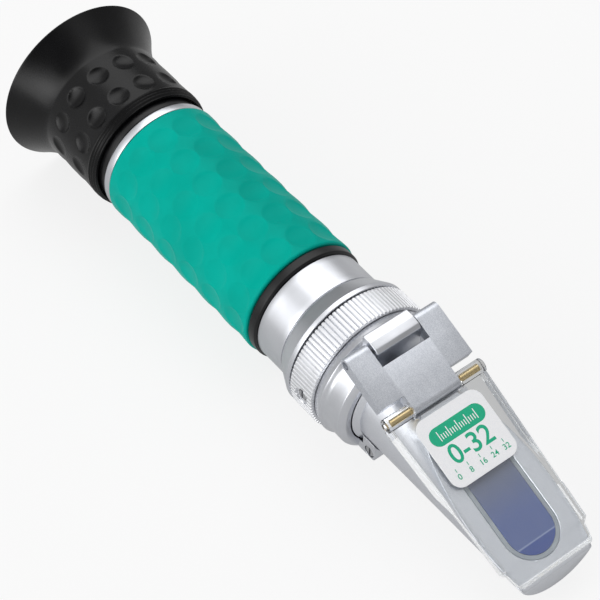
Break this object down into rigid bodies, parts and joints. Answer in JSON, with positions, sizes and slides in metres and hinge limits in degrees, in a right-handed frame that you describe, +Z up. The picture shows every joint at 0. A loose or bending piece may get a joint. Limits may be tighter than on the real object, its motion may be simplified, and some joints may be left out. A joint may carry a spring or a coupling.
{
  "type": "handheld refractometer",
  "caption": "Hand-held optical refractometer with a rubber eyecup, a dimpled grip, a knurled calibration ring, a sloping prism face and a hinged clear daylight plate.",
  "frame": {"origin": "middle of the instrument's box, on the optical axis", "axes": "+X along the optical axis to the prism tip, +Z up through the daylight plate, +Y to the left seen from behind the eyecup"},
  "size_m": [0.1676, 0.0412, 0.041],
  "materials": {
    "black_rubber": "smooth black rubber with a soft sheen",
    "green_rubber": "satin sea-green rubber",
    "grey_rubber": "matte grey sealing compound",
    "black_plastic": "satin black moulding",
    "black_metal": "matt black inside finish",
    "bare_aluminium": "fine turned bare aluminium",
    "dull_aluminium": "bead-blasted bare aluminium",
    "steel": "bright steel",
    "brass": "bright brass",
    "optical_glass": "polished clear glass",
    "prism_glass": "polished blue-grey glass",
    "clear_plastic": "clear glossy moulding",
    "white_sticker": "white sticker"
  },
  "bodies": {
    "housing": {"main_tube": "dull_aluminium", "focus_bush": "black_plastic", "rear_collar": "bare_aluminium", "grip_sleeve": "green_rubber", "grip_band": "black_plastic", "head_tube": "bare_aluminium", "front_body": "bare_aluminium", "prism_box": "bare_aluminium", "main_prism": "prism_glass", "prism_seal": "grey_rubber", "reticle_disc": "optical_glass", "reticle_ring": "black_metal", "light_baffle": "black_metal", "ring_seal": "black_rubber"},
    "lens_slide": {"lens_cell": "black_metal", "eye_lens": "optical_glass", "field_lens": "optical_glass", "lens_spacer": "black_metal", "lens_retainer": "black_metal", "guide_pin": "steel"},
    "eyepiece": {"eyecup": "black_rubber", "focus_ring": "black_plastic"},
    "calibration_ring": {"calibration_ring": "bare_aluminium"},
    "ring_screw": {"ring_set_screw": "steel"},
    "objective": {"objective_carriage": "black_metal", "objective_cell": "black_metal", "objective_lens": "optical_glass", "bimetal_strip": "brass", "strip_screw": "steel", "adjuster_pin": "steel"},
    "body_screw": {"calibration_screw": "steel"},
    "link": {"hinge_link": "dull_aluminium", "link_pin": "steel", "plate_pin": "brass"},
    "plate": {"daylight_plate": "clear_plastic", "plate_label": "white_sticker"}
  },
  "joints": [
    {"name": "focus_travel", "type": "slide", "parent": "housing", "child": "lens_slide", "axis": [1, 0, 0], "range_m": [-0.0015, 0.0015]},
    {"name": "focus_turn", "type": "hinge", "parent": "lens_slide", "child": "eyepiece", "pos_m": [-0.065, 0, 0], "axis": [1, 0, 0], "range_deg": [-135, 135]},
    {"name": "ring_turn", "type": "hinge", "parent": "housing", "child": "calibration_ring", "pos_m": [0.0204, 0, 0], "axis": [1, 0, 0], "range_deg": [-30, 30]},
    {"name": "ring_screw_turn", "type": "hinge", "parent": "calibration_ring", "child": "ring_screw", "pos_m": [0.02069, -0.0154, 0], "axis": [0, -1, 0], "range_deg": [-180, 180]},
    {"name": "objective_shift", "type": "slide", "parent": "housing", "child": "objective", "axis": [0, 0, 1], "range_m": [-0.0003, 0.0003]},
    {"name": "body_screw_turn", "type": "hinge", "parent": "housing", "child": "body_screw", "pos_m": [0.03635, -0.00965, -0.00795], "axis": [0, -1, 0], "range_deg": [-180, 180]},
    {"name": "link_hinge", "type": "hinge", "parent": "housing", "child": "link", "pos_m": [0.03027, 0, 0.0168], "axis": [0, -1, 0], "range_deg": [0, 100]},
    {"name": "plate_hinge", "type": "hinge", "parent": "link", "child": "plate", "pos_m": [0.04409, 0, 0.01122], "axis": [0, -1, 0], "range_deg": [0, 110]}
  ],
  "couplings": [
    {"joint": "focus_travel", "follows": "focus_turn", "m_per_rad": 0.000636},
    {"joint": "objective_shift", "follows": "ring_turn", "m_per_rad": 0.000572}
  ]
}
